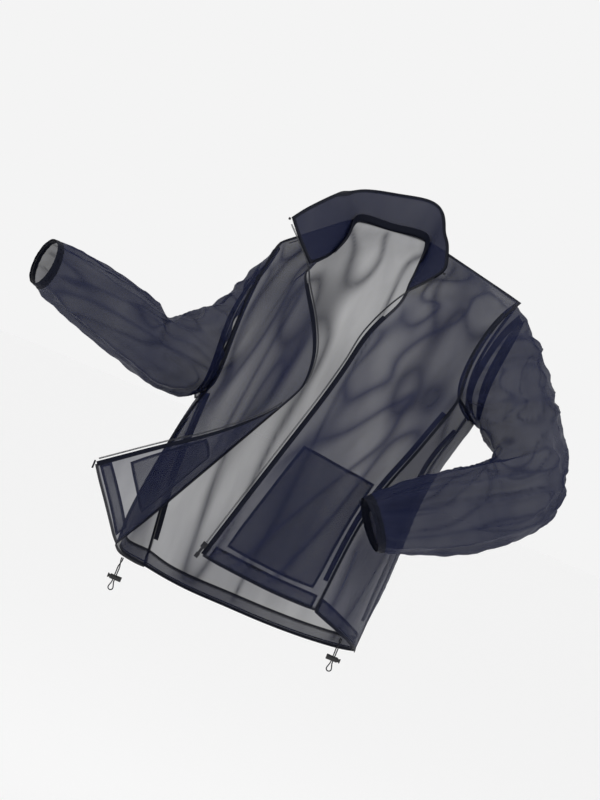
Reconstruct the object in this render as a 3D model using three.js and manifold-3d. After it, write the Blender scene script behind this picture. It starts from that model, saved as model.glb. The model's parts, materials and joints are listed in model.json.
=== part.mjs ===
// A sheer zip-front jacket: cloth panels, stand collar, separating zip, gathered cuffs and a drawcord hem.
// Millimetres. +X is the wearer's left, +Y the back, +Z up. The origin is the middle of the back neck seam.
import * as THREE from 'three';
import { mergeVertices } from 'three/addons/utils/BufferGeometryUtils.js';
import Module from 'manifold-3d';

const wasm = await Module();
wasm.setup();

// ---- Driving dimensions ----
const HALF_CHEST = 232; // half the width of the body
const BACK_LENGTH = 706; // back neck seam to hem
const CLOTH = 0.8; // thickness that stands for one layer of cloth
const SEAM_GAP = 0.8; // between the edges of two pieces sewn together
const ZIP_EDGE = 12; // zip tape showing past the front's edge
const NECK_CLEARANCE = 2; // the fronts' neck edges stay this far outside the neck seam
const CHAIN_WIDTH = 3.2;
const CHAIN_THICKNESS = 2.2;
const BINDING_WIDTH = 7;
const BINDING_THICKNESS = 1;
const SHOULDER_INSET = 7; // from the shoulder seam down to its binding
const HEM_HEIGHT = 25;
const HEM_INSET = 6; // from the outer cloth to the casing's inner wall
const COLLAR_GAP = 1.5; // half the space between the collar's two layers
const CUFF_LENGTH = 12;
const CUFF_INSET = 3; // from the cuff's cloth to the elastic inside it
const ELASTIC_WIDTH = 6;
const SLEEVE_START = 0.010; // share of a sleeve left free at the armhole seam
const SLEEVE_CUT = 0.002; // share left free on each side of a cut across a sleeve
const POCKET_GAP = 9; // room for a hand between the front and the pocket bag
const CORD_DIAMETER = 2;
const LOOP_RADIUS = 2.1 * CORD_DIAMETER; // a limp cord bends no tighter than two diameters
const SLIDER_SIZE = [9, 6.4, 11];
const SLIDER_SEAT = 20; // from the zip's foot up to the slider's middle
const BAIL_RADIUS = 2.1;
const BAIL_WIRE = 0.55; // radius of the bail's wire
const BAIL_CLEARANCE = 0.55; // between the bail and the pull tab
const TAB_SIZE = [4.6, 1.4, 23];
const TAB_BAR = 1.3; // the pull tab's bar, which passes through the bail
const LOCK_LENGTH = 20;
const LOCK_RADIUS = 4.5;
const LOCK_BORE = 3.3;
const PLUNGER_CLEARANCE = 0.35;
const LOCK_TRAVEL = 2.3;
const LOCK_DROP = 36; // hem exit to the lock's middle

// The pattern is drawn for this half chest and back length, and graded to the sizes above.
const PATTERN_HALF_CHEST = 232;
const PATTERN_BACK_LENGTH = 706;
const WIDER = HALF_CHEST / PATTERN_HALF_CHEST;
const LONGER = BACK_LENGTH / PATTERN_BACK_LENGTH;

const v3 = (x, y, z) => new THREE.Vector3(x, y, z);
const at = ([x, y, z]) => v3(x * WIDER, y * WIDER, z * LONGER);
const curve = (...points) => new THREE.CatmullRomCurve3(points.map(at), false, 'centripetal');
const BODY_MIDDLE = [10 * WIDER, -85 * WIDER];
const bodyAxis = (p) => v3(...BODY_MIDDLE, p.z);

// ---- Seam lines ----
const NECK_LEFT = [65, -25, 5];
const NECK_RIGHT = [-63, -20, -8];
const NECK_BACK = [0, 0, 0];
const NECK_FRONT_LEFT = [60, -125, -100];
const NECK_FRONT_RIGHT = [-107, -130, -115];
const TIP_LEFT = [250, -45, -34];
const TIP_RIGHT = [-165, -55, -95];
const FOLD_TOP = [-34, -203, -304];
const FOLD_FOOT = [-226, -105, -672];
const NECK_SIDE_LEFT = [[66, -96, -74], [68, -65, -45], [69, -44, -19]];
const NECK_SIDE_RIGHT = [[-93, -114, -101], [-80, -95, -85], [-66, -55, -45], [-65, -36, -25]];
const CORNER = [-309, -195, -551]; // the turned-back front's lower corner
const ZIP_FOOT = [-92, -205, -631];
const LEFT_FRONT_SEAM_TOP = [213, -122, -225];
const LEFT_BACK_SEAM_TOP = [245, -25, -245];
const RIGHT_FRONT_SEAM_TOP = [-176, -110, -345];
const RIGHT_BACK_SEAM_TOP = [-187, -10, -350];
const LEFT_FRONT_SEAM_FOOT = [124, -192, -644];
const LEFT_BACK_SEAM_FOOT = [215, -55, -690];
const RIGHT_BACK_SEAM_FOOT = [-170, 0, -695];
const LEFT_ARMPIT = [255, -75, -256];
const RIGHT_ARMPIT = [-192, -70, -388];

const leftArmFront = [TIP_LEFT, [237, -80, -54], [220, -112, -91], [210, -128, -140], [206, -133, -186],
  LEFT_FRONT_SEAM_TOP];
const leftArmBack = [TIP_LEFT, [240, -10, -70], [228, 15, -120], [222, 22, -180], LEFT_BACK_SEAM_TOP];
const rightArmFront = [TIP_RIGHT, [-172, -95, -156], [-179, -115, -212], [-176, -122, -264],
  RIGHT_FRONT_SEAM_TOP];
const rightArmBack = [TIP_RIGHT, [-175, -5, -150], [-182, 18, -220], [-184, 20, -300], RIGHT_BACK_SEAM_TOP];
const leftFrontSeam = [LEFT_FRONT_SEAM_TOP, [197, -150, -280], [173, -175, -352], [152, -190, -409],
  [139, -198, -464], [131, -200, -530], [126, -197, -604], LEFT_FRONT_SEAM_FOOT];
const leftBackSeam = [LEFT_BACK_SEAM_TOP, [222, 5, -325], [214, 13, -373], [222, 0, -508], [219, -15, -581],
  LEFT_BACK_SEAM_FOOT];
const rightFrontSeam = [RIGHT_FRONT_SEAM_TOP, [-196, -125, -420], [-212, -128, -520], [-222, -118, -600],
  FOLD_FOOT];
const rightBackSeam = [RIGHT_BACK_SEAM_TOP, [-190, 10, -430], [-188, 18, -540], [-178, 12, -625],
  RIGHT_BACK_SEAM_FOOT];
const leftFrontHem = [ZIP_FOOT, [-31, -212, -636], [43, -210, -642], LEFT_FRONT_SEAM_FOOT];
const leftSideHem = [LEFT_FRONT_SEAM_FOOT, [175, -165, -662], [212, -112, -680], LEFT_BACK_SEAM_FOOT];
const backHem = [LEFT_BACK_SEAM_FOOT, [175, 5, -700], [123, 25, -706], [53, 36, -709], [-19, 38, -708],
  [-91, 30, -706], RIGHT_BACK_SEAM_FOOT];
const rightSideHem = [RIGHT_BACK_SEAM_FOOT, [-212, -42, -686], FOLD_FOOT];
const leftZipLine = [NECK_FRONT_LEFT, [22, -165, -182], [11, -185, -241], [-5, -200, -310],
  [-27, -201.3, -391], [-62, -203.3, -520], ZIP_FOOT];
const rightZipLine = [NECK_FRONT_RIGHT, [-93, -140, -141], [-57, -168, -197], [-37, -185, -242],
  [-32, -196, -280], FOLD_TOP];
const flapZipLine = [FOLD_TOP, [-66, -226, -356], [-104, -230, -395], [-157, -230, -439], [-212, -222,
  -478],
  CORNER];
const flapHem = [FOLD_FOOT, [-240, -140, -648], [-270, -172, -604], CORNER];
const collarTip = { left: [109, -112, -43], right: [-162, -145, -60] };
const neckLine = [NECK_FRONT_RIGHT, ...NECK_SIDE_RIGHT, NECK_RIGHT, NECK_BACK, NECK_LEFT,
  ...[...NECK_SIDE_LEFT].reverse(), NECK_FRONT_LEFT];
const collarTop = [collarTip.right, [-129, -110, -18], [-102, -62, 14], [-72, -8, 42], [-12, 14, 60],
  [58, 4, 70],
  [90, -55, 14], collarTip.left];

// ---- Surfaces ----
// A patch filled in between four edge curves. bottom and top run along u, left and right along v.
function patch(bottom, top, left, right) {
  const [b, t, l, r] = [bottom, top, left, right].map((line) => curve(...line));
  const corner = (u, v) => (v ? t : b).getPoint(u);
  const corners = [corner(0, 0), corner(1, 0), corner(0, 1), corner(1, 1)];
  return (u, v) => {
    const across = b.getPointAt(u).multiplyScalar(1 - v).addScaledVector(t.getPointAt(u), v);
    const along = l.getPointAt(v).multiplyScalar(1 - u).addScaledVector(r.getPointAt(v), u);
    const flat = corners[0].clone().multiplyScalar((1 - u) * (1 - v));
    flat.addScaledVector(corners[1], u * (1 - v)).addScaledVector(corners[2], (1 - u) * v);
    flat.addScaledVector(corners[3], u * v);
    return across.add(along).sub(flat);
  };
}

function normalAt(surface, u, v, u0, u1, v0, v1) {
  const step = (v1 - v0) / 1000;
  const du = surface(Math.min(u + step, u1), v).sub(surface(Math.max(u - step, u0), v));
  const dv = surface(u, Math.min(v + step, v1)).sub(surface(u, Math.max(v - step, v0)));
  return du.cross(dv).normalize();
}

function geometryFrom(positions, triangles) {
  const geometry = new THREE.BufferGeometry();
  geometry.setAttribute('position', new THREE.Float32BufferAttribute(positions, 3));
  geometry.setIndex(triangles);
  return outward(geometry);
}

function outward(geometry) {
  const p = geometry.attributes.position;
  const index = geometry.index.array;
  const corner = (i) => new THREE.Vector3().fromBufferAttribute(p, index[i]);
  let volume = 0;
  for (let i = 0; i < index.length; i += 3) volume += corner(i).dot(corner(i + 1).cross(corner(i + 2)));
  if (volume < 0) for (let i = 0; i < index.length; i += 3) [index[i], index[i + 1]] = [index[i + 1],
    index[i]];
  return geometry;
}

// A thin closed body that follows a surface. shift moves it outward, away from the axis that core gives.
function shell(surface, { u = [0, 1], v = [0, 1], across, along, shift = 0, ring = false, core = bodyAxis,
  thickness = CLOTH, edgeGap = null, limits = [0, 1, 0, 1] }) {
  const middle = surface((u[0] + u[1]) / 2, (v[0] + v[1]) / 2);
  const facing = normalAt(surface, (u[0] + u[1]) / 2, (v[0] + v[1]) / 2, u[0], u[1], v[0], v[1]);
  const sign = facing.dot(middle.clone().sub(core(middle))) < 0 ? -1 : 1;
  const columns = ring ? across : across + 1;
  const positions = [];
  for (const face of [-0.5, 0.5]) {
    for (let j = 0; j <= along; j++) {
      for (let i = 0; i < columns; i++) {
        const b = v[0] + ((v[1] - v[0]) * j) / along;
        const span = edgeGap ? edgeGap(b) : u;
        const a = span[0] + ((span[1] - span[0]) * i) / across;
        const normal = normalAt(surface, a, b, ...(ring ? [-1, 2, ...v] : limits)).multiplyScalar(sign);
        positions.push(...surface(a, b).addScaledVector(normal, shift + face * thickness).toArray());
      }
    }
  }
  const layer = columns * (along + 1);
  const id = (face, i, j) => face * layer + j * columns + (i % columns);
  const triangles = [];
  const quad = (a, b, c, d) => triangles.push(a, b, c, a, c, d);
  for (let j = 0; j < along; j++) {
    for (let i = 0; i < across; i++) {
      quad(id(0, i, j), id(0, i, j + 1), id(0, i + 1, j + 1), id(0, i + 1, j));
      quad(id(1, i, j), id(1, i + 1, j), id(1, i + 1, j + 1), id(1, i, j + 1));
    }
    if (!ring) {
      quad(id(0, 0, j), id(1, 0, j), id(1, 0, j + 1), id(0, 0, j + 1));
      quad(id(0, across, j), id(0, across, j + 1), id(1, across, j + 1), id(1, across, j));
    }
  }
  for (let i = 0; i < across; i++) {
    quad(id(0, i, 0), id(0, i + 1, 0), id(1, i + 1, 0), id(1, i, 0));
    quad(id(0, i, along), id(1, i, along), id(1, i + 1, along), id(0, i + 1, along));
  }
  return geometryFrom(positions, triangles);
}

// A flat ribbon swept along a line: width lies along the cloth, thickness towards the axis that core gives.
function ribbon(path, { width, thickness, inset = 0, drop = 0, steps, from, to, core }) {
  const corners = [[-0.5, -0.5], [0.5, -0.5], [0.5, 0.5], [-0.5, 0.5]];
  const positions = [];
  let upright = 0; // set at the first stop, so that the ribbon never flips over on its way
  for (let i = 0; i <= steps; i++) {
    const t = from + ((to - from) * i) / steps;
    const p = path.getPointAt(t);
    const tangent = path.getTangentAt(t);
    const inward = core(p).sub(p);
    inward.addScaledVector(tangent, -inward.dot(tangent)).normalize();
    const side = tangent.clone().cross(inward);
    upright ||= side.z < 0 ? -1 : 1;
    side.multiplyScalar(upright);
    for (const [a, b] of corners) {
      const corner = p.clone().addScaledVector(inward, inset + b * thickness);
      positions.push(...corner.addScaledVector(side, drop + a * width).toArray());
    }
  }
  const triangles = [];
  for (let i = 0; i < steps; i++) {
    const [near, far] = [i * 4, (i + 1) * 4];
    for (let k = 0; k < 4; k++) {
      const n = (k + 1) % 4;
      triangles.push(near + k, near + n, far + n, near + k, far + n, far + k);
    }
  }
  const last = steps * 4;
  triangles.push(0, 2, 1, 0, 3, 2, last, last + 1, last + 2, last, last + 2, last + 3);
  return geometryFrom(positions, triangles);
}

function box(sizeX, sizeY, sizeZ, centre) {
  return new THREE.BoxGeometry(sizeX, sizeY, sizeZ).translate(centre.x, centre.y, centre.z);
}

function rod(radius, length, centre, sides = 20) {
  return new THREE.CylinderGeometry(radius, radius, length, sides).rotateZ(Math.PI / 2)
    .translate(centre.x, centre.y, centre.z);
}

// ---- Booleans ----
function solid(geometry) {
  const bare = geometry.clone();
  bare.deleteAttribute('normal');
  bare.deleteAttribute('uv');
  const merged = mergeVertices(bare, 1e-5);
  return new wasm.Manifold(new wasm.Mesh({
    numProp: 3,
    vertProperties: merged.attributes.position.array,
    triVerts: new Uint32Array(merged.index.array),
  }));
}

function cut(geometry, ...tools) {
  const mesh = tools.reduce((body, tool) => body.subtract(solid(tool)), solid(geometry)).getMesh();
  return geometryFrom([...mesh.vertProperties], [...mesh.triVerts]);
}

function joined(first, ...others) {
  const mesh = others.reduce((body, other) => body.add(solid(other)), solid(first)).getMesh();
  return geometryFrom([...mesh.vertProperties], [...mesh.triVerts]);
}

// ---- Scene ----
const jacket = new THREE.Group();
const finishes = {
  cloth: { color: 0x2a2f45, roughness: 0.6, metalness: 0 },
  binding: { color: 0x0a0e1e, roughness: 0.7, metalness: 0 },
  tape: { color: 0x0c1020, roughness: 0.8, metalness: 0 },
  chain: { color: 0x14182a, roughness: 0.45, metalness: 0 },
  metal: { color: 0x15171f, roughness: 0.35, metalness: 0.8 },
  lock: { color: 0x08090d, roughness: 0.4, metalness: 0 },
  cord: { color: 0x0b0e18, roughness: 0.8, metalness: 0 },
  elastic: { color: 0x181c2c, roughness: 0.9, metalness: 0 },
};

function add(name, geometry, finish) {
  const mesh = new THREE.Mesh(geometry, new THREE.MeshStandardMaterial(finishes[finish]));
  mesh.name = name;
  jacket.add(mesh);
  return mesh;
}

// ---- Body panels ----
const reversed = (line) => [...line].reverse();
const straight = (a, b) => [0, 0.06, 0.5, 0.94, 1].map((t) => a.map((c, i) => c + (b[i] - c) * t));
const EDGE = 0.008; // share of a panel that a seam allowance gap takes at each edge
const inside = [EDGE, 1 - EDGE];

const back = patch(reversed(backHem),
  [...straight(TIP_RIGHT, NECK_RIGHT), NECK_BACK, ...straight(NECK_LEFT, TIP_LEFT)],
  [...reversed(rightBackSeam), ...reversed(rightArmBack).slice(1)],
  [...reversed(leftBackSeam), ...reversed(leftArmBack).slice(1)]);
const leftSide = patch(leftSideHem, [LEFT_FRONT_SEAM_TOP, LEFT_ARMPIT, LEFT_BACK_SEAM_TOP],
  reversed(leftFrontSeam), reversed(leftBackSeam));
const rightSide = patch(rightSideHem, [RIGHT_BACK_SEAM_TOP, RIGHT_ARMPIT, RIGHT_FRONT_SEAM_TOP],
  reversed(rightBackSeam), reversed(rightFrontSeam));

function bodyPanels() {
  add('back_panel', shell(back, { u: inside, v: inside, across: 14, along: 12 }), 'cloth');
  for (const [side, surface] of [['left', leftSide], ['right', rightSide]]) {
    add(`${side}_side_panel`, shell(surface, { u: [0.02, 0.98], v: inside, across: 9, along: 8 }), 'cloth');
  }
}

const leftFront = patch(leftFrontHem, straight(NECK_LEFT, TIP_LEFT),
  [...reversed(leftZipLine), ...NECK_SIDE_LEFT, NECK_LEFT],
  [...reversed(leftFrontSeam), ...reversed(leftArmFront).slice(1)]);
const rightFront = patch([FOLD_TOP, FOLD_FOOT], straight(NECK_RIGHT, TIP_RIGHT),
  [...reversed(rightZipLine), ...NECK_SIDE_RIGHT, NECK_RIGHT],
  [...reversed(rightFrontSeam), ...reversed(rightArmFront).slice(1)]);
const zipShareOfEdge = (zip, neck) => curve(...zip).getLength() / curve(...reversed(zip),
  ...neck).getLength();
const zipTop = {
  left: zipShareOfEdge(leftZipLine, [...NECK_SIDE_LEFT, NECK_LEFT]),
  right: zipShareOfEdge(rightZipLine, [...NECK_SIDE_RIGHT, NECK_RIGHT]),
};
const flap = patch([FOLD_TOP, FOLD_FOOT], flapZipLine, [FOLD_TOP, FOLD_TOP.map((c, i) => c - i)],
  flapHem);
const flapStart = 0.16; // the turned-back corner begins this share down its fold

// The share of a row that a width in millimetres takes, for a patch whose zip edge is at u = 0.
const rowWidth = (surface, v) => surface(0, v).distanceTo(surface(0.5, v)) * 2;
const zipShare = (surface, width) => (v) => width / rowWidth(surface, v);

const neckShare = (surface, v) => NECK_CLEARANCE / rowWidth(surface, v);

function fronts() {
  for (const [name, surface] of [['left', leftFront], ['right', rightFront]]) {
    const edge = zipShare(surface, ZIP_EDGE);
    const tapeFoot = zipShare(surface, CHAIN_WIDTH + SEAM_GAP);
    const gap = zipShare(surface, SEAM_GAP);
    const top = zipTop[name] - 0.01;
    add(`${name}_front`, shell(surface, { v: inside, across: 10, along: 18,
      edgeGap: (v) => [v > top ? neckShare(surface, v) : edge(v), 1 - EDGE] }), 'cloth');
    add(`${name}_zip_tape`, shell(surface, { v: [EDGE, top - 0.07], across: 1, along: 14,
      edgeGap: (v) => [tapeFoot(v), edge(v) - gap(v)] }), 'tape');
    const line = name === 'left' ? [collarTip.left, ...leftZipLine] : [collarTip.right, ...rightZipLine];
    add(`${name}_zip_chain`, ribbon(curve(...line), { width: CHAIN_THICKNESS, thickness: CHAIN_WIDTH,
      steps: 28, from: 0.03, to: 0.985, core: (p) => sideOf(p, name) }), 'chain');
  }
}

// The chain's flat side lies in the front's surface, so it is turned towards the panel beside it.
function sideOf(p, name) {
  return p.clone().add(v3(name === 'left' ? 1 : -1, 0.35, 0));
}

function turnedBackFlap() {
  const width = (u) => flap(u, 0).distanceTo(flap(u, 1));
  const turned = (a, b) => flap(b, a); // along the fold is v here, out to the zip edge is u
  const fold = (v) => (1 + SEAM_GAP) / width(v);
  const front = (p) => p.clone().add(v3(0, 100, 0));
  const rows = [flapStart, 1 - EDGE];
  const down = (height) => 1 - height / at(FOLD_TOP).distanceTo(at(FOLD_FOOT));
  add('right_front_flap', shell(turned, { v: rows, across: 8, along: 12, core: front,
    edgeGap: (v) => [fold(v), 1 - ZIP_EDGE / width(v)] }), 'cloth');
  add('right_zip_tape_flap', shell(turned, { v: rows, across: 1, along: 14, core: front,
    edgeGap: (v) => [1 - (ZIP_EDGE - SEAM_GAP) / width(v), 1 - (CHAIN_WIDTH + SEAM_GAP) / width(v)] }),
      'tape');
  const chain = curve(...flapZipLine);
  add('right_zip_chain_flap', ribbon(chain, { width: CHAIN_THICKNESS, thickness: CHAIN_WIDTH, steps: 18,
    from: 0.14, to: 0.97, core: (p) => p.clone().add(v3(0.4, 0, -1)) }), 'chain');
  add('insertion_pin', box(3, 2.4, 14, chain.getPointAt(1).add(v3(2, -1, -7))), 'metal');
  add('right_hem_facing', shell(turned, { v: [down(HEM_HEIGHT + 4), down(6)], across: 8, along: 1,
    core: front, shift: -HEM_INSET,
    edgeGap: (v) => [12 / width(v), 1 - (ZIP_EDGE + 2) / width(v)] }), 'cloth');
  add('right_pocket_bag', shell(turned, { v: [0.5, 0.84], across: 6, along: 6, core: front,
    shift: -POCKET_GAP,
    edgeGap: (v) => [14 / width(v), 1 - (ZIP_EDGE + 16) / width(v)] }), 'cloth');
}

// ---- Collar ----
function collar() {
  const mid = patch(neckLine, collarTop, [NECK_FRONT_RIGHT, collarTip.right], [NECK_FRONT_LEFT,
    collarTip.left]);
  const neckAxis = (p) => v3(0, -80 * WIDER, p.z);
  const rows = { u: [0.025, 0.975], v: [0.08, 0.97], across: 22, along: 3, core: neckAxis };
  add('collar_outer', shell(mid, { ...rows, shift: COLLAR_GAP }), 'cloth');
  add('collar_facing', shell(mid, { ...rows, shift: -COLLAR_GAP }), 'cloth');
  const tapeLine = curve(...NECK_SIDE_RIGHT.slice(1), NECK_RIGHT, NECK_BACK, NECK_LEFT,
    ...reversed(NECK_SIDE_LEFT).slice(0, 2));
  add('neck_tape', ribbon(tapeLine,
    { width: 9, thickness: BINDING_THICKNESS, inset: 5, drop: 4, steps: 20, from: 0.03, to: 0.97,
      core: neckAxis }),
  'binding');
  add('left_top_stop', box(4, 3, 4, at(collarTip.left).add(v3(1, -1, 1))), 'metal');
  add('right_top_stop', box(4, 3, 4, at(collarTip.right).add(v3(-2, -2, 3))), 'metal');
}

// ---- Sleeves ----
// Each ring: middle, half of its height as a direction, half of its depth, and, where the sleeve is
// gathered, which way its front faces.
const leftRings = [
  [[284, -72, -173], [16, 0, 89], 76], [[326, -90, -221], [41, 0, 57], 72], [[358, -108, -261], [57, 0,
    24], 68],
  [[372, -135, -306], [66, 0, -16], 66], [[363, -158, -331], [63, 0, -31], 64],
  [[346, -182, -350], [56, 0, -43], 62], [[313, -215, -377], [51, 0, -52], 58],
  [[264, -250, -410], [37, 0, -58], 54], [[201, -278, -444], [29, 0, -54], 48], [[150, -292, -474], [28,
    0, -37], 38],
];
const rightRings = [
  [[-215, -85, -313], [-10, 0, 82], 76, [-0.1, -1, 0]], [[-251, -108, -335], [-11, 0, 69], 68, [0.15,
    -0.98, 0]],
  [[-280, -130, -347], [-8, 0, 57], 60, [0.25, -0.97, 0]], [[-313, -152, -332], [-2, 0, 60], 60],
  [[-364, -180, -315], [-4, 0, 61], 58], [[-420, -210, -303], [-5, 0, 57], 54],
  [[-469, -240, -290], [-1, 0, 50], 47], [[-506, -262, -281], [4, 0, 41], 36],
];

function ringPoint([middle, up, depth, faces], next, s) {
  const forward = at(next[0]).sub(at(middle)).normalize();
  const rise = at(up);
  let out = faces ? v3(...faces) : forward.clone().cross(rise).normalize();
  if (out.y > 0) out = out.negate();
  const angle = 2 * Math.PI * s;
  return at(middle).addScaledVector(rise, Math.cos(angle)).addScaledVector(out,
    depth * WIDER * Math.sin(angle));
}

// The sleeve's surface: u runs round it from the shoulder over the front, v from the armhole to the cuff.
function sleeveSurface(rings, front, back, armpit) {
  const frontLine = curve(...front, armpit);
  const backLine = curve(...back, armpit);
  const armhole = (s) => (s < 0.5 ? frontLine.getPointAt(2 * s) : backLine.getPointAt(2 - 2 * s));
  return (u, v) => {
    const s = ((u % 1) + 1) % 1;
    const points = [armhole(s)];
    rings.forEach((ring, i) => {
      const next = rings[i + 1] ?? [rings[i][0].map((c, k) => 2 * c - rings[i - 1][0][k])];
      points.push(ringPoint(ring, next, s));
    });
    return new THREE.CatmullRomCurve3(points, false, 'centripetal').getPoint(v);
  };
}

function sleeve(side, rings, front, back, armpit, elbow) {
  const surface = sleeveSurface(rings, front, back, armpit);
  const middles = [armholeMiddle(front, armpit), ...rings.map((ring) => at(ring[0]))];
  const axis = (p) => middles.reduce((best,
    m) => (m.distanceTo(p) < best.distanceTo(p) ? m : best)).clone();
  const last = rings.length;
  // The share of the sleeve that a length in millimetres takes at its cuff.
  const reach = (length) => length / (last * middles.at(-1).distanceTo(middles.at(-2)));
  const cuff = 1 - reach(CUFF_LENGTH);
  const elasticFoot = 1 - reach((CUFF_LENGTH - ELASTIC_WIDTH) / 2);
  const sections = [
    ['head', SLEEVE_START, 1.05 / last, 6], ['upper', 1.05 / last, elbow[0] / last, 3],
    ['elbow', elbow[0] / last, elbow[1] / last, 4], ['forearm', elbow[1] / last, cuff, 5],
  ];
  for (const [part, from, to, along] of sections) {
    add(`${side}_sleeve_${part}`, shell(surface, { v: [from + SLEEVE_CUT, to - SLEEVE_CUT], across: 14,
      along, ring: true,
      core: axis }), 'cloth');
  }
  add(`${side}_cuff_binding`, shell(surface, { v: [cuff, 1], across: 14, along: 1, ring: true, core: axis,
    thickness: 1.2 }), 'binding');
  add(`${side}_cuff_elastic`, shell(surface, { v: [elasticFoot - reach(ELASTIC_WIDTH), elasticFoot],
    across: 14, along: 1, ring: true, core: axis,
    shift: -CUFF_INSET, thickness: 1 }), 'elastic');
  add(`${side}_armhole_binding`, shell(surface, { v: [0.026, 0.042], across: 14, along: 1, ring: true,
    core: axis, shift: -6, thickness: BINDING_THICKNESS }), 'binding');
}

function armholeMiddle(front, armpit) {
  return at(front[0]).add(at(armpit)).multiplyScalar(0.5);
}

// ---- Seam bindings, hem and pocket ----
function bindings() {
  // [name, panel it is sewn inside, whether it runs up that panel's u = 1 edge, how far up it goes]
  const seams = [['left_front_seam', leftFront, true, 0.08, 0.6], ['right_front_seam', rightFront, true,
    0.2, 0.4],
    ['left_back_seam', back, true, 0.08, 0.6], ['right_back_seam', back, false, 0.08, 0.5]];
  for (const [name, surface, far, low, top] of seams) {
    const rim = far ? 1 : 0;
    const share = (v, width) => (0.1 * width) / surface(rim, v).distanceTo(surface(Math.abs(rim - 0.1), v));
    const edge = (v) => (far ? [1 - share(v, BINDING_WIDTH + 2), 1 - share(v, 2)]
      : [share(v, 2), share(v, BINDING_WIDTH + 2)]);
    add(`${name}_binding`, shell(surface, { v: [low, top], across: 1, along: 12,
      thickness: BINDING_THICKNESS,
      shift: -4.5, edgeGap: edge }), 'binding');
  }
  const shoulders = { left: [NECK_LEFT, TIP_LEFT], right: [NECK_RIGHT, TIP_RIGHT] };
  for (const [side, line] of Object.entries(shoulders)) {
    add(`${side}_shoulder_binding`, ribbon(curve(...line), { width: BINDING_WIDTH,
      thickness: BINDING_THICKNESS,
      inset: SHOULDER_INSET, steps: 4, from: 0.1, to: 0.9, core: (p) => p.clone().add(v3(0, 0, -100)) }),
    'binding');
  }
}

// The hem from the left front seam round the back to the fold: u counts the panels, v is the height in mm.
const hemLength = [leftSide, back, rightSide].map((panel) => panel(0.5, 0).distanceTo(panel(0.5, 1)));
function hemSurface(u, v) {
  if (u < 1) return leftSide(u, v / hemLength[0]);
  if (u < 2) return back(2 - u, v / hemLength[1]);
  return rightSide(u - 2, v / hemLength[2]);
}

function hem() {
  const rise = (height) => height / leftFront(0.5, 0).distanceTo(leftFront(0.5, 1));
  const facing = { v: [1, HEM_HEIGHT], along: 1, shift: -HEM_INSET };
  add('hem_facing', bandShell({ ...facing, u: [0.03, 2.95], across: 34 }), 'cloth');
  add('left_front_hem_facing', shell(leftFront, { u: [0.08, 0.97], v: [rise(2), rise(HEM_HEIGHT)],
    across: 9, along: 1,
    shift: -HEM_INSET }), 'cloth');
  add('hem_drawcord', bandShell({ v: [6, 6 + CORD_DIAMETER], along: 1, shift: -HEM_INSET / 2,
    thickness: CORD_DIAMETER, u: [0.3, 2.85], across: 34 }), 'cord');
}

function bandShell(options) {
  return shell(hemSurface, { ...options, limits: [0.001, 2.999, 0, HEM_HEIGHT], core: bodyAxis });
}

function pocket() {
  const row = (v) => [zipShare(leftFront, 34)(v), 0.9];
  add('left_pocket_bag', shell(leftFront, { v: [0.055, 0.34], across: 6, along: 6, shift: -POCKET_GAP,
    edgeGap: row }), 'cloth');
}

// ---- Zip slider ----
const zipRun = curve(...leftZipLine.slice(3));
function slider() {
  const foot = zipRun.getPointAt(1);
  const up = zipRun.getPointAt(0).sub(foot).normalize();
  const seat = foot.clone().addScaledVector(up, SLIDER_SEAT);
  const lean = Math.atan2(up.x, up.z);
  const place = (geometry) => geometry.rotateY(lean).translate(seat.x, seat.y, seat.z);
  const [, depth, height] = SLIDER_SIZE;
  const channel = new THREE.BoxGeometry(CHAIN_WIDTH + 1, CHAIN_THICKNESS + 1.6, 2 * height);
  const tapeSlot = new THREE.BoxGeometry(12, 3.4, 2 * height).translate(6, 0, 0);
  add('slider_body', cut(place(new THREE.BoxGeometry(...SLIDER_SIZE)), place(channel), place(tapeSlot)), 'metal');
  const eye = { y: -depth / 2 - BAIL_RADIUS - BAIL_WIRE - 0.25, z: 3 };
  add('slider_bail', place(new THREE.TorusGeometry(BAIL_RADIUS, BAIL_WIRE, 6, 12).rotateY(Math.PI / 2)
    .translate(0, eye.y, eye.z)), 'metal');
  // The tab's bar lies on the bail's centre, and its window is long enough to swing round the wire.
  const windowFoot = BAIL_RADIUS + BAIL_WIRE + BAIL_CLEARANCE;
  const windowLength = windowFoot - TAB_BAR / 2;
  const plate = new THREE.BoxGeometry(...TAB_SIZE).translate(0, eye.y, eye.z + (TAB_BAR - TAB_SIZE[2]) / 2);
  const tabWindow = new THREE.BoxGeometry(2 * (BAIL_WIRE + BAIL_CLEARANCE), 6, windowLength)
    .translate(0, eye.y, eye.z - (windowFoot + TAB_BAR / 2) / 2);
  add('pull_tab', place(cut(plate, tabWindow)), 'metal');
  const boxBlock = new THREE.BoxGeometry(7, 4.4, 9);
  const boxSlot = new THREE.BoxGeometry(CHAIN_WIDTH + 1, CHAIN_THICKNESS + 0.8, 30).translate(0, 0, 10);
  const boxTape = new THREE.BoxGeometry(12, 1.6, 30).translate(6, 0, 10);
  const low = (geometry) => geometry.rotateY(lean).translate(foot.x, foot.y, foot.z);
  add('retainer_box', cut(low(boxBlock), low(boxSlot), low(boxTape)), 'metal');
}

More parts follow.
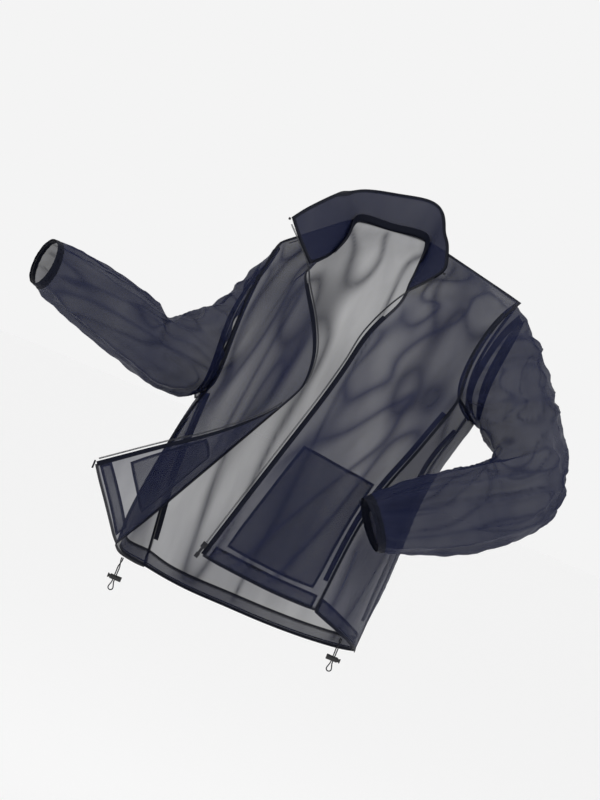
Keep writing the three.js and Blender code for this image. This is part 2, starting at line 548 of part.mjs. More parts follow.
// ---- Cord locks ----
function cordPoints(exit) {
  const low = LOCK_DROP + 18; // down to the middle of the loop's round foot
  const slant = LOOP_RADIUS * Math.SQRT1_2;
  return [[1.2, 0, 0], [1.2, -1.6, -5], [0, -1.6, -10], [-1.5, -0.5, -17], [-1.5, 0, -24], [-1.5, 0,
    -LOCK_DROP],
    [-1.6, 0, -LOCK_DROP - 8], [-LOOP_RADIUS, 0, -low], [-slant, 0, -low - slant], [0, 0,
      -low - LOOP_RADIUS],
    [slant, 0, -low - slant], [LOOP_RADIUS, 0, -low], [1.6, 0, -LOCK_DROP - 8], [1.5, 0, -LOCK_DROP],
      [1.5, 0, -24], [1.5, 0.5, -17], [0, 1.6, -10],
    [-1.2, 1.6, -5], [-1.2, 0, 0]].map(([x, y, z]) => v3(x, y, z).add(exit));
}

function cordLock(side, exit, pressFrom) {
  const path = new THREE.CatmullRomCurve3(cordPoints(exit), false, 'centripetal');
  const section = new THREE.Shape();
  section.absarc(0, 0, CORD_DIAMETER / 2, 0, 2 * Math.PI);
  add(`${side}_cord_loop`, outward(indexed(new THREE.ExtrudeGeometry(section,
    { steps: 44, extrudePath: path, curveSegments: 4, bevelEnabled: false }))), 'cord');
  const middle = exit.clone().add(v3(0, 0, -LOCK_DROP));
  const move = (geometry) => geometry.translate(middle.x, middle.y, middle.z);
  const slot = (from, to) => new THREE.BoxGeometry(to - from, CORD_DIAMETER + 1.4, 30)
    .translate((pressFrom * (from + to)) / 2, 0, 0);
  const bar = (radius, from, to) => rod(radius, to - from, v3((pressFrom * (from + to)) / 2, 0, 0));
  const strands = CORD_DIAMETER + 1.5; // half the room that the two strands take side by side
  const [shut, mouth] = [-LOCK_LENGTH * 0.6, LOCK_LENGTH * 0.4];
  add(`${side}_lock_barrel`, cut(move(bar(LOCK_RADIUS, shut, mouth)), move(bar(LOCK_BORE, shut + 1,
    mouth + 5)),
    move(slot(-strands, strands))), 'lock');
  const stem = bar(LOCK_BORE - PLUNGER_CLEARANCE, shut + 5.5, mouth + 3);
  const head = bar(LOCK_BORE + 0.6, mouth + LOCK_TRAVEL + 0.3, mouth + LOCK_TRAVEL + 2.3);
  add(`${side}_lock_plunger`, move(cut(joined(stem, head), slot(-2.6, 2.6 + LOCK_TRAVEL))), 'lock');
  add(`${side}_lock_spring`, move(spring(pressFrom, shut + 1.6, shut + 5)), 'metal');
}

function spring(pressFrom, from, to) {
  const turns = 2.5;
  const points = [];
  for (let i = 0; i <= turns * 8; i++) {
    const angle = (i / 8) * 2 * Math.PI;
    points.push(v3(pressFrom * (from + ((to - from) * i) / (turns * 8)), 2.2 * Math.cos(angle),
      2.2 * Math.sin(angle)));
  }
  const wire = new THREE.Shape();
  wire.absarc(0, 0, 0.3, 0, 2 * Math.PI);
  return outward(indexed(new THREE.ExtrudeGeometry(wire, { steps: 28, bevelEnabled: false, curveSegments: 3,
    extrudePath: new THREE.CatmullRomCurve3(points) })));
}

function indexed(geometry) {
  geometry.deleteAttribute('normal');
  geometry.deleteAttribute('uv');
  return mergeVertices(geometry, 1e-4);
}

bodyPanels();
fronts();
turnedBackFlap();
collar();
sleeve('left', leftRings, leftArmFront, leftArmBack, LEFT_ARMPIT, [3.1, 5.6]);
sleeve('right', rightRings, rightArmFront, rightArmBack, RIGHT_ARMPIT, [2.1, 4.1]);
bindings();
hem();
pocket();
slider();
cordLock('left', at([183, -158, -665]).add(v3(0, 6, -6)), 1);
cordLock('right', at([-214, -44, -686]).add(v3(6, -4, -6)), -1);

export default jacket;
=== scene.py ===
"""A sheer zip jacket, upright and clear of the floor, in soft studio light. Metres, in the jacket's own
frame.
"""
import json
import math

import bmesh
import bpy
from mathutils import Matrix, Vector, kdtree, noise


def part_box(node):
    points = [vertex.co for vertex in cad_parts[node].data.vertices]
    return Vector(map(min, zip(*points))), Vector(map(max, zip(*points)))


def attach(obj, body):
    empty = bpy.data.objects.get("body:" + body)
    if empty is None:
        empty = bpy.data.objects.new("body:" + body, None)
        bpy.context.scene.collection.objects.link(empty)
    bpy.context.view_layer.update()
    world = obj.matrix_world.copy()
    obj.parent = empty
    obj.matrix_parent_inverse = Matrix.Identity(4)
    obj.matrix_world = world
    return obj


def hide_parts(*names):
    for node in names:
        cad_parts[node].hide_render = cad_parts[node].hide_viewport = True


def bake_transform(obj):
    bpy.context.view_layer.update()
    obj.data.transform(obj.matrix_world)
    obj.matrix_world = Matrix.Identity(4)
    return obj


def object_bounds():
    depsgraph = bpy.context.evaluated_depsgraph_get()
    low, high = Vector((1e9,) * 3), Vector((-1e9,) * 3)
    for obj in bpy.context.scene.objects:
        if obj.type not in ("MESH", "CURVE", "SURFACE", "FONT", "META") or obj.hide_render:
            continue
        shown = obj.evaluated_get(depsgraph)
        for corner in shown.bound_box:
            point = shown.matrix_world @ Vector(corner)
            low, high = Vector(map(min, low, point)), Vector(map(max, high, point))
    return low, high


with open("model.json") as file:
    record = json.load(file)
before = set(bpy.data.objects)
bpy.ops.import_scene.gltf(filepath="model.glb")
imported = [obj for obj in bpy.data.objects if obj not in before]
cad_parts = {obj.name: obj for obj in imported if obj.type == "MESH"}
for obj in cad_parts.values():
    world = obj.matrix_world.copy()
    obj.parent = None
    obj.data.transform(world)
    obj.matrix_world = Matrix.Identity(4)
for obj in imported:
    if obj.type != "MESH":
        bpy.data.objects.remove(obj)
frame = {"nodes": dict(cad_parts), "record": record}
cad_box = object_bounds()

SCENE = bpy.context.scene
SIDES = {"left": 1, "right": -1}

# ---- Sizes ----
CORD_DIAMETER = 0.002
LOCK_DROP = 0.036  # hem exit to the lock's middle
LOOP_RADIUS = 2.1 * CORD_DIAMETER
CORD_EXITS = {"left": (0.183, -0.152, -0.671), "right": (-0.208, -0.048, -0.692)}
TOOTH_PITCH = 0.0018
SEAM_WIDTH = 0.0045  # dark allowance along every sewn edge
SEAM_REACH = 0.0055  # a panel runs this far on, under its neighbour
ARMHOLE_REACH = 0.013
COLLAR_REACH = 0.009
COLLAR_FRONT = -0.100  # the collar's two ends lie forward of this
STILL_EDGE = 0.022  # folds die away over this distance from a sewn edge
CORNER_TURN = -0.6  # cosine between two open edges that meet in a corner
FOLD_SOFTNESS = 4.0  # how quickly a fold's dark line fades to its sides
COLLAR_BUNCHED = 0.60  # the collar is stiffened, and sleeves are pushed up, so both are denser
SLEEVE_BUNCHED = 0.45
BANDS_AT_SCALE_ONE = 20 / math.tau  # a wave texture's bands per metre
SEAM_FADE = 0.0015  # the seam's dark edge fades out over this distance
BROAD_FOLD = 0.003  # a fold higher than this has a ridge and a dark line
TRIM_REACH = 0.001
TAPE_REACH = 0.0005
ARMHOLE_ZONE = 0.16  # nearer the shoulder than this, the sleeve's edge is its armhole
PUCKER_ZONE = 0.13  # the cuff's puckers die away over this distance
PUCKER_HEIGHT = 0.0042
TOOTH_SIZE = (0.0030, 0.0012, 0.0020)
TOOTH_TAPER = 0.86
SAME_POINT = 1e-6
SHEET_TURN = math.radians(55)  # faces of one layer turn by less than this from face to face
QUAD_SHAPE = math.radians(80)
BACKDROP = 0.905
FLOOR_TONE = 0.985
FLOOR_HALF = 60
FLOOR_DROP = 0.5  # from the lowest point down to the floor

# The zip's two edges and the turned-back one, from the collar down.
LEFT_ZIP = [(0.109, -0.112, -0.043), (0.060, -0.125, -0.100), (0.022, -0.165, -0.182),
            (0.011, -0.185, -0.241),
            (-0.005, -0.200, -0.310), (-0.027, -0.2013, -0.391), (-0.062, -0.2033, -0.520),
            (-0.092, -0.205, -0.631)]
RIGHT_ZIP = [(-0.162, -0.145, -0.060), (-0.107, -0.130, -0.115), (-0.093, -0.140, -0.141),
             (-0.057, -0.168, -0.197), (-0.037, -0.185, -0.242), (-0.032, -0.196, -0.280),
             (-0.034, -0.203, -0.304)]
FLAP_ZIP = [(-0.034, -0.203, -0.304), (-0.066, -0.226, -0.356), (-0.104, -0.230, -0.395),
            (-0.157, -0.230, -0.439), (-0.212, -0.222, -0.478), (-0.309, -0.195, -0.551)]


# ---- Camera, light and floor ----
def camera():
    """Level, rolled so that the jacket lies as it is usually shown, leaning to one side."""
    roll = math.radians(22.5)
    right = Vector((math.cos(roll), 0, math.sin(roll)))
    up = Vector((-math.sin(roll), 0, math.cos(roll)))
    turn = Matrix((right, up, (0, -1, 0))).transposed().to_4x4()
    data = bpy.data.cameras.new("camera")
    data.lens = 158
    data.clip_end = 200
    eye = bpy.data.objects.new("camera", data)
    eye.matrix_world = Matrix.Translation((-0.0325, -6.0, -0.330)) @ turn
    SCENE.collection.objects.link(eye)
    SCENE.camera = eye


def area_light(name, place, aim, size, power):
    data = bpy.data.lights.new(name, "AREA")
    data.size = size
    data.energy = power
    lamp = bpy.data.objects.new(name, data)
    lamp.location = place
    lamp.rotation_euler = (Vector(aim) - Vector(place)).to_track_quat("-Z", "Y").to_euler()
    SCENE.collection.objects.link(lamp)


def studio():
    world = bpy.data.worlds.new("studio")
    world.use_nodes = True
    world.node_tree.nodes["Background"].inputs["Color"].default_value = (*(BACKDROP,) * 3, 1)
    world.node_tree.nodes["Background"].inputs["Strength"].default_value = 1
    SCENE.world = world
    SCENE.view_settings.view_transform = "Standard"
    SCENE.cycles.transparent_max_bounces = 32
    area_light("key", (-2.2, -2.6, 2.4), (0, 0, -0.3), 1.6, 15)
    area_light("rim", (2.6, -1.2, 1.4), (0, 0, -0.3), 0.8, 12)
    mesh = bpy.data.meshes.new("floor")
    level = cad_box[0][2] - FLOOR_DROP
    corners = [(x * FLOOR_HALF, y * FLOOR_HALF, level) for x, y in ((-1, -1), (1, -1), (1, 1), (-1, 1))]
    mesh.from_pydata(corners, [], [(0, 1, 2, 3)])
    floor = bpy.data.objects.new("floor", mesh)
    floor.data.materials.append(plain("pale_floor", (FLOOR_TONE,) * 3, 1.0))
    SCENE.collection.objects.link(floor)


# ---- Materials ----
def plain(name, color, roughness, metallic=0.0):
    material = bpy.data.materials.new(name)
    material.use_nodes = True
    shader = material.node_tree.nodes["Principled BSDF"]
    shader.inputs["Base Color"].default_value = (*color, 1)
    shader.inputs["Roughness"].default_value = roughness
    shader.inputs["Metallic"].default_value = metallic
    return material


def group(name, inputs, outputs):
    """An empty node group with float inputs (name: value) and outputs, and its two end nodes."""
    tree = bpy.data.node_groups.new(name, "ShaderNodeTree")
    for label, value in inputs.items():
        tree.interface.new_socket(label, in_out="INPUT", socket_type="NodeSocketFloat").default_value = value
    for label in outputs:
        tree.interface.new_socket(label, in_out="OUTPUT", socket_type="NodeSocketFloat")
    return tree, tree.nodes.new("NodeGroupInput"), tree.nodes.new("NodeGroupOutput")


def maths(tree, operation, a, b):
    node = tree.nodes.new("ShaderNodeMath")
    node.operation = operation
    for socket, value in zip(node.inputs, (a, b)):
        if isinstance(value, (int, float)):
            socket.default_value = value
        else:
            tree.links.new(value, socket)
    return node.outputs[0]


def weave_group():
    """Over-and-under threads as a height, from two crossed bands."""
    tree, start, end = group("plain_weave", {"Threads per metre": 1400.0}, ["Height"])
    place = tree.nodes.new("ShaderNodeTexCoord").outputs["Object"]
    bands = []
    for direction in ("X", "Z"):
        wave = tree.nodes.new("ShaderNodeTexWave")
        wave.bands_direction = direction
        tree.links.new(place, wave.inputs["Vector"])
        tree.links.new(maths(tree, "DIVIDE", start.outputs[0], BANDS_AT_SCALE_ONE), wave.inputs["Scale"])
        bands.append(wave.outputs["Fac"])
    tree.links.new(maths(tree, "MULTIPLY", *bands), end.inputs["Height"])
    return tree


def streak_group():
    """Soft long streaks where cloth has been creased, as a mask."""
    tree, start, end = group("crease_streaks", {"Scale": 9.0, "Stretch": 0.25}, ["Mask"])
    place = tree.nodes.new("ShaderNodeTexCoord").outputs["Object"]
    mapping = tree.nodes.new("ShaderNodeVectorMath")
    mapping.operation = "MULTIPLY"
    across = tree.nodes.new("ShaderNodeCombineXYZ")
    across.inputs["X"].default_value = 1
    across.inputs["Y"].default_value = 1
    tree.links.new(start.outputs["Stretch"], across.inputs["Z"])
    tree.links.new(place, mapping.inputs[0])
    tree.links.new(across.outputs[0], mapping.inputs[1])
    cloud = tree.nodes.new("ShaderNodeTexNoise")
    cloud.inputs["Detail"].default_value = 5
    tree.links.new(mapping.outputs[0], cloud.inputs["Vector"])
    tree.links.new(start.outputs["Scale"], cloud.inputs["Scale"])
    tree.links.new(cloud.outputs[0], end.inputs["Mask"])
    return tree


def place_group(material, tree, **values):
    node = material.node_tree.nodes.new("ShaderNodeGroup")
    node.node_tree = tree
    for label, value in values.items():
        node.inputs[label.replace("_", " ")].default_value = value
    return node.outputs[0]


def bumped(material, height, strength, distance):
    tree = material.node_tree
    bump = tree.nodes.new("ShaderNodeBump")
    bump.inputs["Strength"].default_value = strength
    bump.inputs["Distance"].default_value = distance
    tree.links.new(height, bump.inputs["Height"])
    tree.links.new(bump.outputs[0], tree.nodes["Principled BSDF"].inputs["Normal"])


def ramp(tree, value, low, high, source=(0.0, 1.0)):
    node = tree.nodes.new("ShaderNodeMapRange")
    for label, number in zip(("From Min", "From Max", "To Min", "To Max"), (*source, low, high)):
        node.inputs[label].default_value = number
    tree.links.new(value, node.inputs["Value"])
    return node.outputs[0]


def woven(name, color, seam_color, opacity, roughness, sheen, weave, streaks):
    """Thin cloth that light passes through, denser along creases, at a slant and where it is sewn."""
    material = plain(name, color, roughness)
    tree = material.node_tree
    shader = tree.nodes["Principled BSDF"]
    shader.inputs["Sheen Weight"].default_value = sheen
    shader.inputs["Sheen Roughness"].default_value = 0.4
    shader.inputs["Specular IOR Level"].default_value = 0.15
    seam = tree.nodes.new("ShaderNodeAttribute")
    seam.attribute_name = "seam"
    mask = place_group(material, streaks)
    slant = tree.nodes.new("ShaderNodeLayerWeight")
    slant.inputs["Blend"].default_value = 0.35
    dense = ramp(tree, mask, opacity[0], opacity[1], (0.35, 0.65))
    thin = maths(tree, "SUBTRACT", 1.0, dense)
    through = maths(tree, "MULTIPLY", thin, ramp(tree, slant.outputs["Facing"], 1.0, 0.35))
    doubled = tree.nodes.new("ShaderNodeAttribute")
    doubled.attribute_name = "doubled"
    single = maths(tree, "MULTIPLY", through, ramp(tree, doubled.outputs["Fac"], 1.0, 0.25))
    open_weave = maths(tree, "MULTIPLY", single, ramp(tree, seam.outputs["Fac"], 1.0, 0.12))
    tree.links.new(maths(tree, "SUBTRACT", 1.0, open_weave), shader.inputs["Alpha"])
    mix = tree.nodes.new("ShaderNodeMix")
    mix.data_type = "RGBA"
    mix.inputs[6].default_value = (*color, 1)
    mix.inputs[7].default_value = (*seam_color, 1)
    tree.links.new(seam.outputs["Fac"], mix.inputs[0])
    tree.links.new(mix.outputs[2], shader.inputs["Base Color"])
    tree.links.new(ramp(tree, mask, roughness - 0.12, roughness + 0.12), shader.inputs["Roughness"])
    bumped(material, place_group(material, weave), 0.10, 0.0002)
    return material


def moulded(name, color, roughness, metallic, streaks, scale):
    """Hard trim with a slightly uneven finish."""
    material = plain(name, color, roughness, metallic)
    mask = place_group(material, streaks, Scale=scale, Stretch=1.0)
    tree = material.node_tree
    uneven = ramp(tree, mask, roughness - 0.1, roughness + 0.15)
    tree.links.new(uneven, tree.nodes["Principled BSDF"].inputs["Roughness"])
    bumped(material, mask, 0.12, 0.0002)
    return material


def make_materials():
    weave, streaks = weave_group(), streak_group()
    navy, ink = (0.0055, 0.0085, 0.034), (0.0006, 0.0018, 0.009)
    cloth = {"weave": weave, "streaks": streaks}
    return {
        "sheer_cloth": woven("sheer_cloth", navy, ink, (0.58, 0.74), 0.55, 0.0, **cloth),
        "binding": woven("binding", ink, ink, (0.93, 0.97), 0.6, 0.0, **cloth),
        "zip_tape": woven("zip_tape", ink, ink, (0.95, 0.99), 0.7, 0.0, **cloth),
        "elastic": woven("elastic", (0.006, 0.008, 0.02), ink, (0.95, 0.99), 0.75, 0.1, **cloth),
        "cord": woven("cord", (0.003, 0.004, 0.008), ink, (1.0, 1.0), 0.7, 0.15, **cloth),
        "zip_chain": moulded("zip_chain", (0.004, 0.005, 0.012), 0.35, 0.0, streaks, 400.0),
        "zip_metal": moulded("zip_metal", (0.03, 0.03, 0.035), 0.3, 0.9, streaks, 300.0),
        "lock_plastic": moulded("lock_plastic", (0.004, 0.004, 0.005), 0.35, 0.0, streaks, 500.0),
        "spring_steel": moulded("spring_steel", (0.45, 0.45, 0.45), 0.3, 1.0, streaks, 600.0),
    }


# ---- Cloth ----
def outer_layer(mesh):
    """Cuts a thin closed body down to one of its two faces, as a single sheet."""
    mesh.faces.ensure_lookup_table()
    unseen = set(mesh.faces)
    parts = []
    while unseen:
        part, ahead = [], [unseen.pop()]
        while ahead:
            face = ahead.pop()
            part.append(face)
            for edge in face.edges:
                if len(edge.link_faces) == 2 and edge.calc_face_angle() < SHEET_TURN:
                    for other in edge.link_faces:
                        if other in unseen:
                            unseen.remove(other)
                            ahead.append(other)
        parts.append(part)
    keep = max(parts, key=lambda part: sum(face.calc_area() for face in part))
    drop = [face for part in parts if part is not keep for face in part]
    bmesh.ops.delete(mesh, geom=drop, context="FACES")


def sheet_of(node):
    """The outer layer of a CAD node, in quads."""
    mesh = bmesh.new()
    mesh.from_mesh(frame["nodes"][node].data)
    bmesh.ops.remove_doubles(mesh, verts=mesh.verts, dist=SAME_POINT)
    outer_layer(mesh)
    bmesh.ops.join_triangles(mesh, faces=mesh.faces, angle_face_threshold=math.pi,
                             angle_shape_threshold=QUAD_SHAPE)
    return mesh


def rims(mesh):
    """The loops of open edges, each as a list of edges."""
    unseen = {edge for edge in mesh.edges if edge.is_boundary}
    found = []
    while unseen:
        rim, ahead = [], [unseen.pop()]
        while ahead:
            edge = ahead.pop()
            rim.append(edge)
            for vert in edge.verts:
                for other in vert.link_edges:
                    if other in unseen:
                        unseen.remove(other)
                        ahead.append(other)
        found.append(rim)
    return found


def middle(rim):
    points = [vert.co for edge in rim for vert in edge.verts]
    return sum(points, Vector()) / len(points)


def tube_of(nodes):
    """The sheets of several rings, bridged end to end. A face's material_index is the index of its ring."""
    tube = bmesh.new()
    for index, node in enumerate(nodes):
        ring = sheet_of(node)
        for face in ring.faces:
            face.material_index = index
        data = bpy.data.meshes.new(node)
        ring.to_mesh(data)
        ring.free()
        tube.from_mesh(data)
        bpy.data.meshes.remove(data)
    for index in range(len(nodes) - 1):
        ends = {}
        for rim in rims(tube):
            ends.setdefault(rim[0].link_faces[0].material_index, []).append(rim)
        pairs = [(a, b) for a in ends[index] for b in ends[index + 1]]
        near = min(pairs, key=lambda pair: (middle(pair[0]) - middle(pair[1])).length)
        made = bmesh.ops.bridge_loops(tube, edges=near[0] + near[1])
        for face in made["faces"]:
            face.material_index = index
    return tube


def extend(mesh, reach):
    """Runs the sheet's open edges on, in its own plane. reach gives the distance at a point."""
    bmesh.ops.recalc_face_normals(mesh, faces=mesh.faces)
    edges = [edge for edge in mesh.edges if edge.is_boundary]
    outward = {}
    for edge in edges:
        face = edge.link_faces[0]
        line = (edge.verts[1].co - edge.verts[0].co).normalized()
        out = line.cross(face.normal)
        if out.dot((edge.verts[0].co + edge.verts[1].co) / 2 - face.calc_center_median()) < 0:
            out.negate()
        for vert in edge.verts:
            outward[vert] = outward.get(vert, Vector()) + out
    before = {vert.co.copy().freeze(): way.normalized() for vert, way in outward.items()}
    made = bmesh.ops.extrude_edge_only(mesh, edges=edges)["geom"]
    for vert in (item for item in made if isinstance(item, bmesh.types.BMVert)):
        way = before[vert.co.copy().freeze()]
        vert.co += way * reach(vert.co)


def pin_corners(mesh):
    """Keeps the points where an open edge turns sharply, so that subdividing doesn't round them."""
    pinned = mesh.verts.layers.float.get("crease_vert") or mesh.verts.layers.float.new("crease_vert")
    for vert in mesh.verts:
        open_edges = [edge for edge in vert.link_edges if edge.is_boundary]
        if len(open_edges) == 2:
            ways = [(edge.other_vert(vert).co - vert.co).normalized() for edge in open_edges]
            if ways[0].dot(ways[1]) > CORNER_TURN:
                vert[pinned] = 1


def subdivided(mesh, name, levels):
    """A new mesh, smoothly subdivided."""
    pin_corners(mesh)
    data = bpy.data.meshes.new(name)
    mesh.to_mesh(data)
    mesh.free()
    rough = bpy.data.objects.new(name + "_rough", data)
    SCENE.collection.objects.link(rough)
    modifier = rough.modifiers.new("fine", "SUBSURF")
    modifier.levels = modifier.render_levels = levels
    modifier.boundary_smooth = "PRESERVE_CORNERS"
    fine = bpy.data.meshes.new_from_object(rough.evaluated_get(bpy.context.evaluated_depsgraph_get()))
    bpy.data.objects.remove(rough)
    fine.name = name
    fine.shade_smooth()
    return fine


def fold(point, along, length, width):
    """Noise drawn out along one direction, from about -1 to 1."""
    run = point.dot(along)
    return noise.noise(point / width + along * (run / length - run / width))


def open_keys(faces):
    """The vertex pairs of edges that only one of the faces has."""
    counts = {}
    for polygon in faces:
        for key in polygon.edge_keys:
            counts[key] = counts.get(key, 0) + 1
    return [key for key, count in counts.items() if count == 1]


def crease(data, bends, gather=None, bunched=0.0):
    """Moves the sheet's points along their normals. bends are (direction, length, width, height).

    bunched, from 0 to 1, is how far the cloth lies over itself everywhere.
    """
    edge_points = {index for key in open_keys(data.polygons) for index in key}
    tree = kdtree.KDTree(len(edge_points))
    for slot, index in enumerate(edge_points):
        tree.insert(data.vertices[index].co, slot)
    tree.balance()
    seam = data.attributes.new("seam", "FLOAT", "POINT")
    doubled = data.attributes.new("doubled", "FLOAT", "POINT")
    moved = []
    for vertex in data.vertices:
        away = tree.find(vertex.co)[2]
        seam.data[vertex.index].value = 1 - min(max((away - SEAM_WIDTH) / SEAM_FADE, 0), 1)
        free = min(away / STILL_EDGE, 1) ** 2 * (3 - 2 * min(away / STILL_EDGE, 1))
        rise = sharp = 0
        for along, length, width, height in bends:
            wave = fold(vertex.co, Vector(along).normalized(), length, width)
            broad = height > BROAD_FOLD
            rise += height * (0.45 - abs(wave) * 2 if broad else wave)
            if broad:
                sharp = max(sharp, 1 - abs(wave) * FOLD_SOFTNESS)
        doubled.data[vertex.index].value = max(max(sharp, 0) ** 2 * free, bunched)
        if gather:
            rise = rise * free + gather(vertex.co)
            free = 1
        moved.append(vertex.co + vertex.normal * rise * free)
    for vertex, place in zip(data.vertices, moved):
        vertex.co = place
    data.update()


def show(name, data, slot, bodies, nodes):
    piece = bpy.data.objects.new(name, data)
    SCENE.collection.objects.link(piece)
    data.materials.clear()
    data.materials.append(MATERIALS[slot])
    if nodes:
        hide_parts(*nodes)
    if len(bodies) == 1:
        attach(piece, bodies[0])
    return piece


def cloth(node, body, slot, bends, held=None, levels=3, reach=SEAM_REACH, bunched=0.0):
    """One sheet in place of one CAD node. Narrow trim has no held. held is not used."""
    mesh = sheet_of(node)
    extend(mesh, reach if callable(reach) else lambda point: reach)
    data = subdivided(mesh, "cloth_" + node, levels)
    crease(data, bends, bunched=bunched)
    piece = show("cloth_" + node, data, slot, [body], [node])
    return piece


FALL = (0.1, 0, 1)  # straight down the body
DIAGONAL = (0.42, 0, 0.9)  # from the left shoulder to the zip's foot
LEVEL = (1, 0, 0.15)


def collar_reach(point):
    """Down to the neck seam and forward to the zip, but no higher."""
    front = point.y < COLLAR_FRONT
    low = point.z < (-0.04 if front else 0.02)
    return COLLAR_REACH if front or low else SEAM_REACH / 2


def body_cloth():
    loose = [(FALL, 0.90, 0.06, 0.008), (DIAGONAL, 0.12, 0.022, 0.0016)]
    drawn = [(DIAGONAL, 1.10, 0.042, 0.010), (DIAGONAL, 0.35, 0.015, 0.0026)]
    cloth("back_panel", "torso", "sheer_cloth", loose, "hung")
    cloth("left_side_panel", "torso", "sheer_cloth", loose, "hung")
    cloth("right_side_panel", "torso", "sheer_cloth", loose, "hung")
    cloth("left_front", "torso", "sheer_cloth", drawn, "hung")
    straight = [(FALL, 1.0, 0.034, 0.008), (FALL, 0.3, 0.012, 0.002)]
    cloth("right_front", "torso", "sheer_cloth", straight, "hung")
    cloth("right_front_flap", "flap", "sheer_cloth", [(DIAGONAL, 0.2, 0.05, 0.003)], "folded")
    for layer in ("collar_outer", "collar_facing"):
        cloth(layer, "torso", "sheer_cloth", [(LEVEL, 0.1, 0.03, 0.001)], "folded", reach=collar_reach,
              bunched=COLLAR_BUNCHED)
    still = [(LEVEL, 0.1, 0.03, 0.0012)]
    cloth("left_pocket_bag", "torso", "sheer_cloth", still, "hung")
    cloth("right_pocket_bag", "flap", "sheer_cloth", still, "hung")
    cloth("hem_facing", "torso", "sheer_cloth", still, "folded", reach=TRIM_REACH)
    cloth("left_front_hem_facing", "torso", "sheer_cloth", still, "folded", reach=TRIM_REACH)
    cloth("right_hem_facing", "flap", "sheer_cloth", still, "folded", reach=TRIM_REACH)


def trims():
    for side in SIDES:
        for kind in ("front_seam", "back_seam", "shoulder", "armhole"):
            cloth(f"{side}_{kind}_binding", "torso", "binding", [], levels=2, reach=TRIM_REACH)
        cloth(f"{side}_zip_tape", "torso", "zip_tape", [], levels=2, reach=TAPE_REACH)
    cloth("right_zip_tape_flap", "flap", "zip_tape", [], levels=2, reach=TAPE_REACH)
    cloth("neck_tape", "torso", "binding", [], levels=2, reach=TRIM_REACH)


def sleeve(side, shoulder, elbow, axis):
    """The sleeve's tube, split into two halves where the elbow begins."""
    nodes = [f"{side}_sleeve_{part}" for part in ("head", "upper", "elbow", "forearm")]
    tube = tube_of(nodes)
    armhole = Vector(shoulder[0])
    extend(tube, lambda point: ARMHOLE_REACH if (point - armhole).length < ARMHOLE_ZONE else SEAM_REACH)
    data = subdivided(tube, f"{side}_sleeve", 3)
    halves = {"top": (0, 1), "low": (2, 3)}
    forearm = Vector(axis).normalized()
    upper_arm = (Vector(elbow[0]) - armhole).normalized()
    cuff = middle_of(f"{side}_cuff_binding")

    def gather(point):
        """Long narrow puckers that the cuff's elastic draws up."""
        near = max(0, 1 - (point - cuff).length / PUCKER_ZONE)
        return PUCKER_HEIGHT * near * fold(point, forearm, 0.4, 0.011)

    crease(data, [(forearm, 0.90, 0.034, 0.009), (upper_arm, 0.30, 0.022, 0.0028),
                  (forearm, 0.30, 0.012, 0.0016)], gather, SLEEVE_BUNCHED)
    for half, rings in halves.items():
        part = bmesh.new()
        part.from_mesh(data)
        bmesh.ops.delete(part, geom=[face for face in part.faces if face.material_index not in rings],
                         context="FACES")
        share = data.copy()
        share.name = f"cloth_{side}_sleeve_{half}"
        for face in part.faces:
            face.material_index = 0
        part.to_mesh(share)
        part.free()
        bodies = ("torso", f"{side}_arm") if half == "top" else (f"{side}_arm", f"{side}_forearm")
        piece = show(share.name, share, "sheer_cloth", bodies, [nodes[index] for index in rings])
        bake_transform(piece)


def middle_of(node):
    low, high = (Vector(corner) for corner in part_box(node))
    return (low + high) / 2


def cuffs():
    for side in SIDES:
        for part, slot in (("cuff_binding", "binding"), ("cuff_elastic", "elastic")):
            piece = cloth(f"{side}_{part}", f"{side}_forearm", slot, [], levels=3, reach=TAPE_REACH)
            for vertex in piece.data.vertices:
                vertex.co += vertex.normal * 0.0012 * noise.noise(vertex.co * 130)


# ---- Cords and zip ----
def smooth_line(points, steps):
    """Points along a centripetal Catmull-Rom curve through the given ones."""
    points = [Vector(point) for point in points]
    ends = [2 * points[0] - points[1], *points, 2 * points[-1] - points[-2]]
    line = []
    for a, b, c, d in zip(ends, ends[1:], ends[2:], ends[3:]):
        first, second, third = ((q - p).length ** 0.5 or 1 for p, q in ((a, b), (b, c), (c, d)))
        start = ((b - a) / first - (c - a) / (first + second) + (c - b) / second) * second
        finish = ((c - b) / second - (d - b) / (second + third) + (d - c) / third) * second
        for step in range(steps):
            t = step / steps
            line.append(b * (2 * t**3 - 3 * t**2 + 1) + start * (t**3 - 2 * t**2 + t)
                        + c * (3 * t**2 - 2 * t**3) + finish * (t**3 - t**2))
    return [*line, points[-1]]


def cord_points():
    low = LOCK_DROP + 0.018
    slant = LOOP_RADIUS * math.sqrt(0.5)
    down = [(0.0012, 0, 0), (0.0012, -0.0016, -0.005), (0, -0.0016, -0.010), (-0.0015, -0.0005, -0.017),
            (-0.0015, 0, -0.024), (-0.0015, 0, -LOCK_DROP), (-0.0016, 0, -LOCK_DROP - 0.008),
            (-LOOP_RADIUS, 0, -low), (-slant, 0, -low - slant)]
    back = [(-x, -y, z) for x, y, z in reversed(down)]
    return [*down, (0, 0, -low - LOOP_RADIUS), *back]


def cord_loops():
    for side, leave in CORD_EXITS.items():
        line = smooth_line([Vector(point) + Vector(leave) for point in cord_points()], 6)
        data = bpy.data.curves.new(f"{side}_cord", "CURVE")
        data.dimensions = "3D"
        data.bevel_depth = CORD_DIAMETER / 2
        data.bevel_resolution = 3
        spline = data.splines.new("POLY")
        spline.points.add(len(line) - 1)
        for point, place in zip(spline.points, line):
            point.co = (*place, 1)
        data.materials.append(MATERIALS["cord"])
        piece = bpy.data.objects.new(f"{side}_hem_cord", data)
        SCENE.collection.objects.link(piece)
        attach(piece, "torso")
        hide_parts(f"{side}_cord_loop")


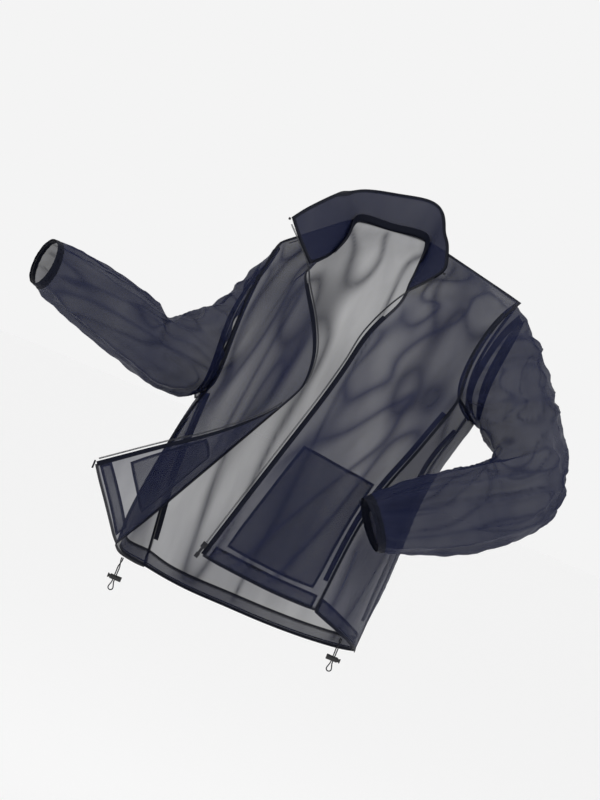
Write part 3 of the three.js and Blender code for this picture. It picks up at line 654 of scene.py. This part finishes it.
def even(line, pitch):
    """(point, direction) at even steps along a line."""
    spare = 0.0
    for a, b in zip(line, line[1:]):
        length = (b - a).length
        while spare < length:
            yield a.lerp(b, spare / length), (b - a).normalized()
            spare += pitch
        spare -= length


def chain(node, body, points, side):
    """Moulded teeth on a bead, one beside the other down the zip's edge."""
    mesh = bmesh.new()
    facing = Vector((side, 0.35, 0)).normalized()
    line = smooth_line(points, 24)
    low, high = (Vector(corner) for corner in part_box(node))
    for place, run in even(line, TOOTH_PITCH):
        if any(place[k] < low[k] - 0.001 or place[k] > high[k] + 0.001 for k in range(3)):
            continue
        across = (facing - run * facing.dot(run)).normalized()
        turn = Matrix((across, run, across.cross(run))).transposed().to_4x4()
        size = Matrix.Diagonal((*TOOTH_SIZE, 1))
        cube = bmesh.ops.create_cube(mesh, size=1, matrix=Matrix.Translation(place) @ turn @ size)
        bmesh.ops.scale(mesh, vec=(TOOTH_TAPER,) * 3, verts=cube["verts"][:4],
                        space=Matrix.Translation(-place))
    data = bpy.data.meshes.new("teeth_" + node)
    mesh.to_mesh(data)
    mesh.free()
    piece = show("teeth_" + node, data, "zip_chain", [body], [node])
    bevel = piece.modifiers.new("rounded", "BEVEL")
    bevel.width = 0.00025
    bevel.segments = 2


def zips():
    chain("left_zip_chain", "torso", LEFT_ZIP, 1)
    chain("right_zip_chain", "torso", RIGHT_ZIP, -1)
    chain("right_zip_chain_flap", "flap", FLAP_ZIP, 1)


def rounded_copy(node, body, slot):
    """A band from the CAD model with its square section rounded into a cord."""
    mesh = bmesh.new()
    mesh.from_mesh(frame["nodes"][node].data)
    bmesh.ops.remove_doubles(mesh, verts=mesh.verts, dist=SAME_POINT)
    bmesh.ops.join_triangles(mesh, faces=mesh.faces, angle_face_threshold=math.radians(30),
                             angle_shape_threshold=QUAD_SHAPE)
    show("round_" + node, subdivided(mesh, "round_" + node, 2), slot, [body], [node])


def hardware():
    """CAD pieces whose shape is right get their finish and softened edges."""
    slots = {entry["node"]: entry["material_slot"] for entry in frame["record"]["subparts"]}
    for name, thing in frame["nodes"].items():
        if slots[name] in ("zip_metal", "lock_plastic"):
            thing.data.materials.clear()
            thing.data.materials.append(MATERIALS[slots[name]])
            bevel = thing.modifiers.new("soft_edges", "BEVEL")
            bevel.width = 0.0003
            bevel.segments = 2
            bevel.limit_method = "ANGLE"


def lock_springs():
    """Each lock's coil, copied from the CAD model in spring steel."""
    for side, outward in SIDES.items():
        node = f"{side}_lock_spring"
        bodies = (f"{side}_lock", f"{side}_plunger")
        coil = show("coil_" + node, frame["nodes"][node].data.copy(), "spring_steel", bodies, [node])
        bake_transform(coil)


camera()
MATERIALS = make_materials()
cord_loops()
studio()
body_cloth()
trims()
sleeve("left", ((0.255, -0.060, -0.145), (0.300, -0.060, -0.145)),
       ((0.358, -0.110, -0.264), (0.353, -0.172, -0.343)), (-0.75, -0.36, -0.45))
sleeve("right", ((-0.190, -0.0625, -0.2415), (-0.230, -0.0625, -0.2415)),
       ((-0.255, -0.111, -0.337), (-0.316, -0.154, -0.332)), (-0.87, -0.44, 0.15))
cuffs()
zips()
rounded_copy("hem_drawcord", "torso", "cord")
hardware()
lock_springs()
